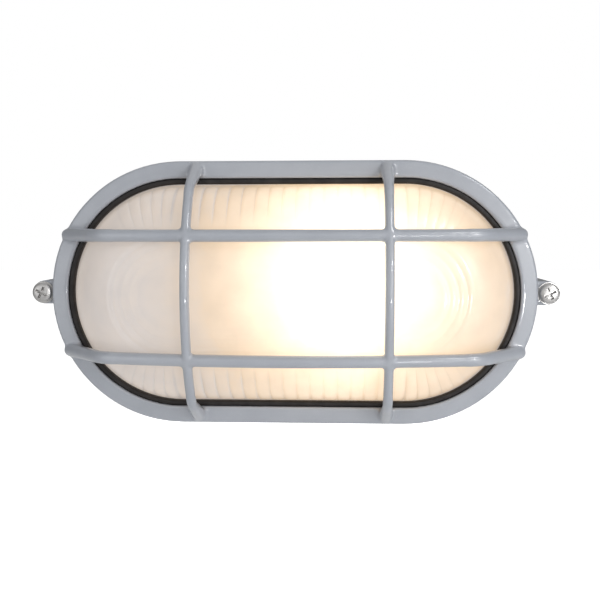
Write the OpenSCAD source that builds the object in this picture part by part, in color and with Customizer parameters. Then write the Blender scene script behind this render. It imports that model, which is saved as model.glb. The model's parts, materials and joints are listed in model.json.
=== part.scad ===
// Oval bulkhead light with a cast guard over a ribbed glass, made to be fixed to a wall.
// The pieces are drawn in a local frame: x along the length, y up and z out of the wall,
// with the wall's face at z = 0. stand_up() turns that frame so that the front faces -Y.

/* [Ring] */
// Radius of the ring's round ends, outside
ring_r = 53; // [50:0.5:58]
// Distance between the centres of the two round ends
end_spacing = 90; // [88:1:110]
// Width of the ring seen from the front
ring_w = 7; // [6.5:0.1:8]
// Height of the ring's upright skirt
skirt_h = 15.4; // [14:0.2:18]
// Wall of the skirt
skirt_t = 2.6; // [2.2:0.1:3]
// Radius of the ring's rounded outer edge
ring_round = 1.2; // [0.8:0.1:2]
// Slope of the ring's face, which rises towards the glass
ring_tilt = 10; // [6:1:14]
// Radius of the ring's inner edge
ring_inner_round = 0.8; // [0.4:0.1:1.2]
// Drop of the ring's widest line below the underside of its lip
edge_drop = 0.2; // [0.1:0.1:1]

/* [Guard] */
// Distance of each upright bar from the middle
upright_x = 38; // [34:0.5:42]
// Distance of each level bar from the middle
level_y = 23.5; // [20:0.5:26]
// Rise of the upright bars above the ring's widest line
upright_rise = 31; // [30:0.5:36]
// Rise of the level bars above the ring's widest line
level_rise = 28.6; // [28:0.2:33]
// Radius of the upright bars' round section
upright_bar_r = 1.85; // [1.6:0.05:2.1]
// Radius of the level bars' round section
level_bar_r = 2.4; // [2.1:0.05:2.6]
// Radius of the foot in which an upright bar ends on the ring
upright_foot_r = 3; // [2.5:0.1:3.2]
// Radius of the foot in which a level bar ends on the ring
level_foot_r = 2.65; // [2.6:0.05:3]
// Set-back of the upright bars' feet from the ring's outline
upright_foot_in = 3.2; // [3:0.1:4.5]
// Set-back of the level bars' feet from the ring's outline
level_foot_in = 1.4; // [0.4:0.1:2]
// Slope at the ends of the upright bars' long arch
upright_arch_deg = 33; // [28:1:36]
// Slope of the upright bars' straight legs
upright_leg_deg = 66; // [60:1:72]
// Slope at the ends of the level bars' long arch
level_arch_deg = 12; // [10:1:15]
// Slope of the level bars' straight legs
level_leg_deg = 48; // [44:1:54]
// Radius of the bend between an upright bar's arch and its leg
upright_bend_r = 10; // [7:0.5:13]
// Radius of the bend between a level bar's arch and its leg
level_bend_r = 14; // [10:0.5:18]

/* [Closing screws] */
// Gap between the ring's outline and the closing screw's axis
ear_reach = 4.8; // [4.7:0.1:6]
// Radius of the ears at both ends
ear_r = 4.8; // [4.6:0.1:6]
// Height of the guard's ears
guard_ear_h = 11.8; // [9:0.2:13]
// Height of the base's tapped ears
base_ear_h = 12; // [9:0.5:16]
// Radius of a closing screw's shank
screw_r = 1.95; // [1.5:0.05:2.2]
// Length of a closing screw's shank
screw_len = 24; // [22:0.5:26]
// Radius of a closing screw's head
screw_head_r = 4; // [3.5:0.1:4.2]
// Height of a closing screw's head
screw_head_h = 2.7; // [2.2:0.1:3.2]
// Outer radius of the washers under the closing screws
washer_r = 4.5; // [4.3:0.1:4.6]
// Thickness of the washers
washer_t = 0.8; // [0.6:0.1:1.2]

/* [Glass] */
// Rubber that shows between the ring and the glass
gasket_show = 2.6; // [2.2:0.1:3.4]
// Thickness of the glass
glass_t = 3.8; // [3:0.1:4.2]
// Width of the glass rim's flange
flange_w = 4; // [3.4:0.1:4.4]
// Thickness of the flange
flange_t = 4; // [3.5:0.1:5]
// Height of the glass above its flange, at the middle
dome_h = 24; // [22:0.5:26]
// Distance from the middle at which the flank meets the front
front_r = 26; // [23:0.5:28]
// Height of the shoulder below the middle of the front
front_crown = 2.6; // [1.5:0.1:4]
// Swell of the flank outside its straight chord
flank_bow = 3.6; // [2.5:0.1:5]
// Pitch of the scalloped rings on the front
ring_pitch = 3.4; // [3:0.1:4.4]
// Number of scalloped rings on the front
ring_count = 4; // [2:1:5]
// Depth of the scallops
scallop = 0.35; // [0.2:0.05:0.6]
// Pitch of the ribs on the flank
rib_pitch = 5.25; // [4.5:0.05:7]
// Width of a rib
rib_w = 2.5; // [2:0.1:3]
// Height of a rib on the middle of the flank
rib_h = 0.7; // [0.4:0.1:1]
// Number of ribs carried on round each quarter of the ends
end_ribs = 5; // [2:1:7]
// Angle between the ribs round the ends
fan_pitch = 7; // [6:1:9]
// Angle that a rib takes round the ends
fan_w = 3; // [2:1:4]

/* [Gasket] */
// Thickness of the rubber
gasket_t = 1.2; // [1:0.1:1.6]
// Height of the bead that shows inside the ring
bead_h = 1.5; // [1:0.1:1.9]

/* [Base] */
// Depth of the base from the wall to its rim
base_depth = 53; // [50:0.5:60]
// Gap between the ring's skirt and the base
skirt_gap = 0.4; // [0.3:0.05:0.6]
// Draft of the base's side, from the rim to the back
base_draft = 3; // [1:0.5:4]
// Wall of the base
base_t = 2.6; // [2.2:0.1:3.2]
// Width of the base's rim
rim_t = 3.4; // [3:0.1:3.8]
// Thickness of the base's floor
floor_t = 2.4; // [2:0.1:3]
// Depth of the recess in the back
back_recess = 1.2; // [0.8:0.1:1.6]
// Width of the raised edge round the back
back_edge_w = 6; // [4:0.5:8]
// Distance between the two wall holes, up and down
wall_spacing = 76; // [70:1:78]
// Radius of the wall holes
wall_hole_r = 2.6; // [2:0.1:3]
// Radius of the bosses round the wall holes
wall_boss_r = 5; // [4.5:0.1:5.5]
// Height of the bosses above the floor
boss_h = 2.4; // [1.5:0.1:3]

/* [Cable entry] */
// Direction of the cable entry from the end's centre, turned up from the length
entry_turn = 47; // [42:1:52]
// Gap between the grommet and the rounded corner of the tray
entry_gap = 0.5; // [0.2:0.1:2]
// Radius of the hole for the grommet
entry_r = 6; // [5:0.2:6.4]
// Width of the grommet's lips outside the hole
entry_lip = 2; // [1.5:0.1:2.4]
// Radius of the grommet's cable hole
cable_r = 3.5; // [2.5:0.1:4]

/* [Lamp] */
// Gap between the lamp's globe and the glass
lamp_gap = 2.9; // [2:0.1:4]
// Radius of the lamp's globe
globe_r = 29.5; // [27:0.5:30]
// Length of the lamp with its cap
lamp_len = 104; // [98:1:108]
// Radius of the lamp's screw cap
cap_r = 13; // [12.5:0.1:13.2]
// Length of the screw cap
cap_len = 25; // [23:0.5:27]

/* [Lampholder] */
// Radius of the porcelain body
holder_r = 20; // [19:0.2:21]
// Length of the porcelain body
holder_len = 42; // [40:0.5:44]
// Length of the cap that stays outside the holder
cap_show = 5; // [3:0.5:7]
// Wall of the threaded sleeve
sleeve_t = 0.6; // [0.4:0.1:0.8]
// Radial gap between the sleeve and its neighbours
sleeve_gap = 0.3; // [0.2:0.05:0.5]
// Thickness of the bracket's sheet
bracket_t = 1.5; // [1:0.1:2]
// Width of the bracket
bracket_w = 32; // [30:1:34]
// Length of the bracket's foot
bracket_foot = 11; // [10:0.5:11.5]
// Gap between the bracket's foot and the tray's end wall
foot_gap = 5.9; // [5:0.1:7]

/* [Reflector] */
// Length of the reflector
reflector_len = 112; // [100:1:114]
// Half width of its flat bottom
reflector_flat = 24.5; // [23:0.5:25]
// Width of each sloping side, seen from the front
reflector_side = 8.5; // [6:0.5:9]
// Thickness of its sheet
reflector_t = 0.8; // [0.6:0.1:1.2]
// Height of its flat bottom above the floor
reflector_lift = 7.4; // [7:0.2:9]
// Distance between its two screws
reflector_screws_x = 80; // [74:1:84]

/* [Terminals] */
// Pitch of the terminal block's poles
pole_pitch = 8; // [7.5:0.1:9]
// Length of the terminal block along its poles
block_len = 16; // [15:0.5:18]
// Gap between the terminal block and the tray's end wall
block_gap = 9.9; // [9:0.1:11]
// Place of the middle of the terminal block
block_y = -4; // [-6:0.5:-3]
// Distance of the earth screw inside the tray's wall
earth_in = 12.2; // [11:0.1:13]
// Direction of the earth screw from the end's centre, turned down from the length
earth_turn = 64; // [62:1:66]
// Radius of a wire with its sheath
wire_r = 1.1; // [0.9:0.05:1.2]

/* [Hidden] */
$fn = 72;

// Small clearances and shares that many pieces use
touch = 0.3;
thread_gap = 0.15;
cut = 1;
arc_steps = 6;

// Levels of the stack from the wall outwards
rim_z = base_depth;
flange_z = rim_z + gasket_t;
flange_top = flange_z + flange_t;
lip_z = flange_top + gasket_t;
edge_z = lip_z - edge_drop;
skirt_z = edge_z - skirt_h;
floor_z = back_recess + floor_t;

// Radii of the stadium outlines, measured from the line between the end centres
ring_in_r = ring_r - ring_w;
skirt_in_r = ring_r - skirt_t;
base_r = skirt_in_r - skirt_gap;
back_r = base_r - base_draft;
glass_r = ring_in_r - gasket_show;
flange_r = glass_r + flange_w;
gasket_r = flange_r + thread_gap + gasket_t;
half_spacing = end_spacing / 2;

// Ears and their screws
ear_x = half_spacing + ring_r + ear_reach;
guard_ear_top = skirt_z + guard_ear_h;
base_ear_top = skirt_z - touch;

// Points on a circular arc about a centre
function arc(centre, r, from, to, n = arc_steps) =
    [for (i = [0:n]) let (a = from + (to - from) * i / n) centre + r * [cos(a), sin(a)]];

// Points on an arc from p to q that swells by the given height to the right of its chord
function bow(p, q, height, n = arc_steps) =
    let (chord = norm(q - p),
        r = (chord * chord / 4 + height * height) / (2 * height),
        along = (q - p) / chord,
        out = [along.y, -along.x],
        centre = (p + q) / 2 + out * (height - r),
        half = asin(chord / (2 * r)))
    [for (i = [0:n]) let (a = half * (2 * i / n - 1)) centre + r * (cos(a) * out + sin(a) * along)];

// Points on a quadratic curve
function curve(p, c, q, n = arc_steps) =
    [for (i = [0:n]) let (t = i / n) (1 - t) * (1 - t) * p + 2 * t * (1 - t) * c + t * t * q];

// Points on a smooth line through a route's own points
function smooth_route(p, n = 4) =
    let (last = len(p) - 1)
    concat([for (i = [0:last - 1], k = [0:n - 1])
        let (t = k / n, a = p[max(i - 1, 0)], b = p[i], c = p[i + 1], d = p[min(i + 2, last)])
        0.5 * (2 * b + (c - a) * t + (2 * a - 5 * b + 4 * c - d) * t * t
            + (3 * b - a - 3 * c + d) * t * t * t)], [p[last]]);

function unit(v) = v / norm(v);

function backwards(list) = [for (i = [len(list) - 1:-1:0]) list[i]];

// Turns the local frame into the part's frame
module stand_up() {
    rotate([90, 0, 0]) children();
}

// Carries a profile, drawn as distance and height, round the stadium outline
module stadium_sweep() {
    for (turn = [0, 180]) rotate([0, 0, turn]) {
        translate([half_spacing, 0, 0]) rotate([0, 0, -90]) rotate_extrude(angle = 180) children();
        translate([-half_spacing, 0, 0]) rotate([90, 0, 90]) linear_extrude(end_spacing) children();
    }
}

// Points a shape's z axis along the length
module along_length() {
    rotate([0, 90, 0]) children();
}

module at_both_ends() {
    for (turn = [0, 180]) rotate([0, 0, turn]) children();
}

// Pan head screw with a cross recess, its head's seat at z = 0 and its shank below
module pan_screw(r, length, head_r, head_h) {
    crown = 0.45 * head_h;
    slot_w = 0.28 * head_r;
    slot_reach = 0.62 * head_r;
    tip = 0.3 * r;
    difference() {
        rotate_extrude() polygon(concat(
            [[0, -length], [r - tip, -length], [r, tip - length], [r, 0], [head_r, 0]],
            curve([head_r, head_h - crown], [0.85 * head_r, head_h], [0.3 * head_r, head_h]),
            [[0, head_h]]));
        for (turn = [0, 90]) rotate([0, 0, turn])
            translate([-slot_reach, -slot_w / 2, 0.3 * head_h]) cube([2 * slot_reach, slot_w, head_h]);
    }
}

module flat_washer(r, hole_r, thickness) {
    linear_extrude(thickness) difference() {
        circle(r);
        circle(hole_r);
    }
}

// Round wire along a route, one ring of corners at each point
module wire(route, side_axis) {
    path = smooth_route(route);
    sides = 8;
    last = len(path) - 1;
    corners = [for (i = [0:last])
        let (ahead = unit(path[min(i + 1, last)] - path[max(i - 1, 0)]),
            across = unit(cross(side_axis, ahead)),
            over = cross(ahead, across))
        for (k = [0:sides - 1])
            path[i] + wire_r * (cos(360 * k / sides) * across + sin(360 * k / sides) * over)];
    skin = [for (i = [0:last - 1], k = [0:sides - 1])
        let (a = i * sides + k, b = i * sides + (k + 1) % sides)
        each [[a, a + sides, b + sides], [a, b + sides, b]]];
    start = [for (k = [0:sides - 1]) k];
    end = [for (k = [sides - 1:-1:0]) last * sides + k];
    polyhedron(corners, concat([start], skin, [end]));
}

// Base housing: a cast tray with a raised back edge, bosses, tapped ears and a cable hole
boss_top = floor_z + boss_h;
reflector_z = floor_z + reflector_lift;
bracket_z = boss_top;
small_screw_r = 1.6;
small_head_r = 3;
small_head_h = 2;
small_screw_len = 4.6;
small_boss_r = 4;
boss_sink = 0.5;
tray_corner = 3;
floor_r = back_r - base_t;
end_centre = [half_spacing, 0];
entry_reach = floor_r - tray_corner - entry_r - entry_lip - entry_gap;
entry = end_centre + entry_reach * [cos(entry_turn), sin(entry_turn)];
earth = end_centre + (floor_r - earth_in) * [cos(earth_turn), -sin(earth_turn)];

// Lamp and holder places: out from the wall by the glass, along the length by the tray's end wall
dome_top = flange_top + dome_h;
lamp_z = dome_top - glass_t - lamp_gap - globe_r;
contact_h = 3;
bracket_back_x = foot_gap + bracket_foot - half_spacing - floor_r;
holder_back_x = bracket_back_x + bracket_t;
holder_front_x = holder_back_x + holder_len;
cap_end_x = holder_front_x + cap_show - cap_len - contact_h;
lamp_tip_x = cap_end_x + lamp_len;
bracket_screw_x = bracket_back_x - bracket_foot / 2;
bracket_screw_y = 9;

module bracket_screw_places() {
    for (side = [-1, 1]) translate([bracket_screw_x, side * bracket_screw_y, 0]) children();
}

module reflector_screw_places() {
    for (side = [-1, 1]) translate([side * reflector_screws_x / 2, 0, 0]) children();
}

module wall_hole_places() {
    for (side = [-1, 1]) translate([0, side * wall_spacing / 2, 0]) children();
}

module ear_plan(from_r) {
    translate([ear_x, 0]) circle(ear_r);
    translate([half_spacing + from_r, -ear_r]) square([ear_x - half_spacing - from_r, 2 * ear_r]);
}

module tray_solid() {
    upright_z = skirt_z - 3;
    back_round = 2;
    rim_bevel = 0.5;
    stadium_sweep() polygon(concat([[0, 0]],
        arc([back_r - back_round, back_round], back_round, -90, 0),
        [[base_r, upright_z], [base_r, rim_z - rim_bevel], [base_r - rim_bevel, rim_z], [0, rim_z]]));
}

module tray_hollow() {
    mouth_r = base_r - rim_t;
    stadium_sweep() polygon(concat([[0, floor_z]],
        arc([floor_r - tray_corner, floor_z + tray_corner], tray_corner, -90, 0),
        [[mouth_r, skirt_z], [mouth_r, rim_z + cut], [0, rim_z + cut]]));
}

module base_housing() {
    recess_r = back_r - back_edge_w;
    gusset = 0.9 * base_ear_h;
    gusset_w = 1.6 * ear_r;
    gusset_sink = 0.5;
    color("#9a9fa6") stand_up() difference() {
        union() {
            difference() {
                tray_solid();
                tray_hollow();
                stadium_sweep() translate([0, -cut]) square([recess_r, back_recess + cut]);
            }
            at_both_ends() translate([0, 0, base_ear_top - base_ear_h]) {
                linear_extrude(base_ear_h) ear_plan(back_r);
                translate([half_spacing + back_r, gusset_w / 2, gusset_sink]) rotate([90, 0, 0])
                    linear_extrude(gusset_w) polygon([[0, -gusset], [ear_x - half_spacing - back_r, 0], [0, 0]]);
            }
            wall_hole_places() cylinder(r = wall_boss_r, h = boss_top);
            bracket_screw_places() small_boss(boss_h);
            reflector_screw_places() small_boss(reflector_lift);
            translate(earth) small_boss(boss_h);
        }
        at_both_ends() translate([ear_x, 0, base_ear_top - base_ear_h - cut])
            cylinder(r = screw_r + thread_gap, h = base_ear_h + 2 * cut);
        wall_hole_places() translate([0, 0, -cut]) cylinder(r = wall_hole_r, h = boss_top + 2 * cut);
        bracket_screw_places() screw_hole(boss_top + bracket_t);
        reflector_screw_places() screw_hole(reflector_z + reflector_t);
        translate(earth) screw_hole(boss_top + lug_t);
        block_screw_places() screw_hole(floor_z + block_ear_h);
        translate(entry) cylinder(r = entry_r, h = boss_top);
    }
}

module small_boss(h) {
    translate([0, 0, floor_z - boss_sink]) cylinder(r = small_boss_r, h = h + boss_sink);
}

// Blind hole for a small screw whose head seats at the given height
module screw_hole(seat_z) {
    translate([0, 0, seat_z - small_screw_len - touch])
        cylinder(r = small_screw_r + thread_gap, h = small_screw_len + touch + cut);
}

// Guard frame: the ring, the arched bars and the two ears, cast in one piece
function bar_sizes(span, rise, arch_deg, leg_deg, bend_r) =
    let (s = span - bend_r * (sin(leg_deg) - sin(arch_deg)),
        h = rise - bend_r * (cos(arch_deg) - cos(leg_deg)),
        det = sin(arch_deg) * sin(leg_deg) - cos(leg_deg) * (1 - cos(arch_deg)))
    [(s * sin(leg_deg) - h * cos(leg_deg)) / det,
        (h * sin(arch_deg) - s * (1 - cos(arch_deg))) / det];

// One bar in the plane of x and z: a long arch, two bends and two legs that widen into round feet.
// Each stretch is a little stouter than the one above it, which laps into it.
bar_step = 0.1;
bar_lap = 0.8;

module bar(bar_r, foot_r, span, rise, arch_deg, leg_deg, bend_r) {
    sizes = bar_sizes(span, rise, arch_deg, leg_deg, bend_r);
    arch_r = sizes[0];
    leg_len = sizes[1];
    arch_c = [0, rise - arch_r];
    bend_c = arch_c + (arch_r - bend_r) * [sin(arch_deg), cos(arch_deg)];
    leg_top = bend_c + bend_r * [sin(leg_deg), cos(leg_deg)];
    rotate([90, 0, 0]) {
        translate(arch_c) bar_arc(arch_r, 90 - arch_deg, 90 + arch_deg, bar_r);
        for (side = [0, 1]) mirror([side, 0, 0]) {
            translate(bend_c) bar_arc(bend_r, 90 - leg_deg, 90 - arch_deg, bar_r + bar_step);
            translate(leg_top) rotate([0, 0, -leg_deg]) along_length()
                bar_leg(leg_len, bar_r + 2 * bar_step, foot_r);
        }
    }
}

module bar_arc(r, from, to, section_r) {
    lap = bar_lap / r * 180 / PI;
    rotate([0, 0, from - lap]) rotate_extrude(angle = to - from + 2 * lap, $fn = 240)
        translate([r, 0]) circle(section_r, $fn = 32);
}

module bar_leg(length, top_r, foot_r) {
    rotate_extrude($fn = 32) polygon(concat([[0, 0], [top_r, 0]], arc([0, length], foot_r, 0, 90)));
}

module ring_solid() {
    face_end = 90 - ring_tilt;
    round_c = [ring_r - ring_round, edge_z];
    face_start = round_c + ring_round * [cos(face_end), sin(face_end)];
    inner_x = ring_in_r + ring_inner_round;
    inner_z = face_start.y + (face_start.x - inner_x) * tan(ring_tilt);
    stadium_sweep() polygon(concat(
        [[ring_in_r, skirt_z], [ring_r, skirt_z]],
        arc(round_c, ring_round, 0, face_end),
        arc([inner_x, inner_z - ring_inner_round], ring_inner_round, face_end, 180, 4)));
}

// Room inside the ring for the base's rim, the gasket and the glass
module ring_pocket() {
    bevel = 1.5;
    stadium_sweep() polygon([[glass_r, skirt_z - cut], [skirt_in_r, skirt_z - cut],
        [skirt_in_r, lip_z - 1.5 * bevel], [skirt_in_r - bevel, lip_z], [glass_r, lip_z]]);
}

module guard_frame() {
    upright_span = ring_r - upright_foot_in;
    level_foot = ring_r - level_foot_in;
    level_span = half_spacing + sqrt(level_foot * level_foot - level_y * level_y);
    color("#a4a9b0") stand_up() difference() {
        union() {
            ring_solid();
            translate([0, 0, edge_z]) {
                for (side = [-1, 1]) translate([side * upright_x, 0, 0]) rotate([0, 0, 90])
                    bar(upright_bar_r, upright_foot_r, upright_span, upright_rise,
                        upright_arch_deg, upright_leg_deg, upright_bend_r);
                for (side = [-1, 1]) translate([0, side * level_y, 0])
                    bar(level_bar_r, level_foot_r, level_span, level_rise,
                        level_arch_deg, level_leg_deg, level_bend_r);
            }
            at_both_ends() translate([0, 0, skirt_z]) linear_extrude(guard_ear_h)
                ear_plan((skirt_in_r + ring_r) / 2);
        }
        ring_pocket();
        at_both_ends() translate([ear_x, 0, skirt_z - cut])
            cylinder(r = screw_r + touch, h = guard_ear_h + 2 * cut);
    }
}

// Glass: a pressed dome with a flange, ribs on its flanks and scalloped rings on its front
dome_foot = [glass_r, flange_top];
dome_shoulder = [front_r, dome_top - front_crown];
inner_top = dome_shoulder.y - glass_t + touch;
inner_bow = flank_bow - touch;

// Height of the front's even crown at a distance from the middle
function crown_z(r) = dome_top - front_crown * (r / front_r) * (r / front_r);

// Section of the flange and the flank, which is swollen by the rib's height
function flank_section(rib) =
    let (flange_round = 0.8,
        inner_foot = [glass_r - glass_t, flange_top],
        inner_shoulder = [front_r, inner_top])
    concat(
        [[inner_foot.x, flange_z], [flange_r, flange_z]],
        arc([flange_r - flange_round, flange_top - flange_round], flange_round, 0, 90, 2),
        bow(dome_foot, dome_shoulder, flank_bow + rib),
        backwards(bow(inner_foot, inner_shoulder, inner_bow, 4)));

// Section of the front with its scalloped rings, from the flank to the middle
front_section =
    let (edges = [for (k = [0:ring_count]) front_r - k * ring_pitch])
    concat(
        [[0, inner_top], [front_r, inner_top]],
        [for (k = [0:ring_count - 1]) let (a = edges[k], b = edges[k + 1])
            each bow([a, crown_z(a)], [b, crown_z(b)], scallop, 3)],
        [[0, dome_top]]);

module straight_flank(x, length, rib) {
    translate([x, 0, 0]) rotate([90, 0, 90]) linear_extrude(length) polygon(flank_section(rib));
}

module round_flank(from, angle, rib) {
    translate([half_spacing, 0, 0]) rotate_extrude(start = from, angle = angle) polygon(flank_section(rib));
}

// Ribbed and plain stretches of the flank follow each other along the sides and into the ends
module glass_lens() {
    ribs = floor(end_spacing / rib_pitch);
    row = (ribs - 1) * rib_pitch + rib_w;
    margin = (end_spacing - row) / 2;
    rib_gap = rib_pitch - rib_w;
    fan_gap = fan_pitch - fan_w;
    fan_end = 90 - end_ribs * fan_pitch;
    color("#e8dcc8", 0.6) stand_up() {
        stadium_sweep() polygon(front_section);
        at_both_ends() {
            straight_flank(-half_spacing, margin, 0);
            for (i = [0:ribs - 1]) straight_flank(i * rib_pitch - row / 2, rib_w, rib_h);
            for (i = [1:ribs - 1]) straight_flank(i * rib_pitch - row / 2 - rib_gap, rib_gap, 0);
            straight_flank(half_spacing - margin, margin, 0);
            for (i = [0:end_ribs - 1]) {
                round_flank(90 - i * fan_pitch - fan_w, fan_w, rib_h);
                round_flank(90 - (i + 1) * fan_pitch, fan_gap, 0);
                round_flank(i * fan_pitch - 90, fan_w, rib_h);
                round_flank(i * fan_pitch - 90 + fan_w, fan_gap, 0);
            }
            round_flank(-fan_end, 2 * fan_end, 0);
        }
    }
}

// Gasket: a rubber channel round the glass flange, with a bead that shows inside the ring
module glass_gasket() {
    bead_out = ring_in_r - touch;
    bead_in = glass_r + touch;
    bead_top = lip_z + bead_h;
    lower_in = base_r - rim_t;
    color("#232226") stand_up() stadium_sweep() polygon(concat(
        [[lower_in, rim_z], [gasket_r, rim_z], [gasket_r, lip_z], [bead_out, lip_z]],
        curve([bead_out, bead_top - 0.6], [bead_out, bead_top], [(bead_in + bead_out) / 2, bead_top], 3),
        curve([(bead_in + bead_out) / 2, bead_top], [bead_in, bead_top], [bead_in, bead_top - 0.6], 3),
        [[bead_in, flange_top], [gasket_r - gasket_t, flange_top], [gasket_r - gasket_t, flange_z],
            [lower_in, flange_z]]));
}

// Closing screws and their washers
module closing_screw(side) {
    color("#c9ccd0") stand_up() translate([side * ear_x, 0, guard_ear_top + washer_t])
        rotate([0, 0, 25 * side]) pan_screw(screw_r, screw_len, screw_head_r, screw_head_h);
}

module closing_washer(side) {
    color("#d5d7da") stand_up() translate([side * ear_x, 0, guard_ear_top])
        flat_washer(washer_r, screw_r + touch, washer_t);
}

module screw_left() { closing_screw(-1); }
module screw_right() { closing_screw(1); }
module washer_left() { closing_washer(-1); }
module washer_right() { closing_washer(1); }

// Reflector: a bent sheet behind the lamp
module reflector() {
    side_rise = reflector_side;
    half = reflector_flat;
    edge = half + reflector_side;
    t = reflector_t;
    lean = t * tan(22.5);
    color("#eceded") stand_up() difference() {
        translate([-reflector_len / 2, 0, reflector_z]) rotate([90, 0, 90]) linear_extrude(reflector_len)
            polygon([[-edge, side_rise], [-half, 0], [half, 0], [edge, side_rise],
                [edge - t * sin(45), side_rise + t * sin(45)], [half - lean, t],
                [lean - half, t], [t * sin(45) - edge, side_rise + t * sin(45)]]);
        reflector_screw_places() cylinder(r = small_screw_r + touch, h = 2 * reflector_z);
    }
}

module small_screw() {
    pan_screw(small_screw_r, small_screw_len, small_head_r, small_head_h);
}

module reflector_screws() {
    color("#c9ccd0") stand_up() reflector_screw_places()
        translate([0, 0, reflector_z + reflector_t]) small_screw();
}

// Bracket: a folded strip that stands on two bosses and carries the lampholder
module holder_bracket() {
    bend = 2;
    head_z = lamp_z + 0.7 * holder_r;
    corner = 6;
    color("#b9bcc0") stand_up() difference() {
        union() {
            translate([0, bracket_w / 2, 0]) rotate([90, 0, 0]) linear_extrude(bracket_w) polygon(concat(
                [[bracket_back_x - bracket_foot, bracket_z], [holder_back_x - bend, bracket_z]],
                arc([holder_back_x - bend, bracket_z + bend], bend, -90, 0),
                [[holder_back_x, head_z - corner], [bracket_back_x, head_z - corner],
                    [bracket_back_x, bracket_z + bend], [holder_back_x - bend, bracket_z + bracket_t],
                    [bracket_back_x - bracket_foot, bracket_z + bracket_t]]));
            translate([bracket_back_x, 0, head_z - corner]) along_length() linear_extrude(bracket_t) {
                translate([-corner, corner - bracket_w / 2]) square([corner, bracket_w - 2 * corner]);
                for (side = [-1, 1]) translate([0, side * (bracket_w / 2 - corner)]) intersection() {
                    circle(corner);
                    translate([-corner, -corner]) square([corner, 2 * corner]);
                }
            }
        }
        bracket_screw_places() translate([0, 0, bracket_z - cut])
            cylinder(r = small_screw_r + touch, h = bracket_t + 2 * cut);
        holder_screw_places() cylinder(r = small_screw_r + touch, h = 4 * bracket_t, center = true);
    }
}

module bracket_screws() {
    color("#c9ccd0") stand_up() bracket_screw_places() translate([0, 0, bracket_z + bracket_t]) small_screw();
}

// Places of the two screws through the bracket into the holder, their axes along the length
holder_screw_y = 8;

module holder_screw_places() {
    for (side = [-1, 1]) translate([bracket_back_x, side * holder_screw_y, lamp_z]) along_length() children();
}

module holder_screws() {
    color("#c9ccd0") stand_up() holder_screw_places() rotate([180, 0, 0]) small_screw();
}

// Lampholder: porcelain body, threaded sleeve, centre contact and two terminals
sleeve_out_r = cap_r + sleeve_gap + sleeve_t;
socket_r = sleeve_out_r + sleeve_gap;
socket_floor_x = cap_end_x - contact_h;
terminal_w = 7;
terminal_in = 8;
terminal_x = holder_back_x + terminal_in;
terminal_y = 15;

module on_lamp_axis(x) {
    translate([x, 0, lamp_z]) along_length() children();
}

module holder_body() {
    edge = 1.5;
    neck = 1.2;
    neck_at = 0.4 * holder_len;
    color("#f1efe8") stand_up() difference() {
        on_lamp_axis(holder_back_x) rotate_extrude() polygon([[0, 0], [holder_r - edge, 0], [holder_r, edge],
            [holder_r, neck_at], [holder_r - neck, neck_at + neck], [holder_r - neck, holder_len - edge],
            [holder_r - neck - edge, holder_len], [0, holder_len]]);
        on_lamp_axis(socket_floor_x) cylinder(r = socket_r, h = holder_len);
        for (side = [0, 1]) mirror([0, side, 0]) terminal_channel();
        holder_screw_places() cylinder(r = small_screw_r + thread_gap, h = small_screw_len + cut);
    }
}

// Channel for a terminal, open to the side and downwards for its wire
module terminal_channel() {
    corner = terminal_w / 2 + touch;
    translate([terminal_x - corner, terminal_y - corner, lamp_z - holder_r - cut])
        cube([2 * corner, holder_r, holder_r + cut + corner]);
}

module holder_sleeve() {
    sleeve_front = holder_front_x - 1.5;
    seat = socket_floor_x;
    hole_r = 7;
    color("#c8b26a") stand_up() difference() {
        on_lamp_axis(seat) cylinder(r = sleeve_out_r, h = sleeve_front - seat);
        on_lamp_axis(seat + sleeve_t) cylinder(r = sleeve_out_r - sleeve_t, h = holder_len);
        on_lamp_axis(seat - cut) cylinder(r = hole_r, h = 2 * cut + sleeve_t);
    }
}

module holder_contact() {
    contact_r = 4.5;
    color("#c89b4c") stand_up() on_lamp_axis(socket_floor_x)
        cylinder(r1 = contact_r, r2 = 0.6 * contact_r, h = cap_end_x - socket_floor_x - touch);
}

module holder_terminals() {
    color("#c8b26a") stand_up() for (side = [0, 1]) mirror([0, side, 0])
        translate([terminal_x, terminal_y, lamp_z]) difference() {
        translate([-terminal_w / 2, -terminal_w / 2, -terminal_w / 2]) cube(terminal_w);
        translate([0, 0, -terminal_w]) cylinder(r = wire_r + touch, h = terminal_w + cut);
        terminal_screw_places() translate([0, 0, -terminal_w / 2])
            cylinder(r = clamp_screw_r + thread_gap, h = terminal_w);
    }
}

// Screws that clamp the wires, turned from the holder's two sides
clamp_screw_r = 1.2;
clamp_screw_len = (terminal_w - 2 * wire_r) / 2 - touch;

module terminal_screw_places() {
    translate([0, terminal_w / 2, 0]) rotate([-90, 0, 0]) children();
}

module holder_clamp_screws() {
    color("#c9ccd0") stand_up() for (side = [0, 1]) mirror([0, side, 0])
        translate([terminal_x, terminal_y, lamp_z]) terminal_screw_places()
            pan_screw(clamp_screw_r, clamp_screw_len, 1.8 * clamp_screw_r, clamp_screw_r);
}

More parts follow.
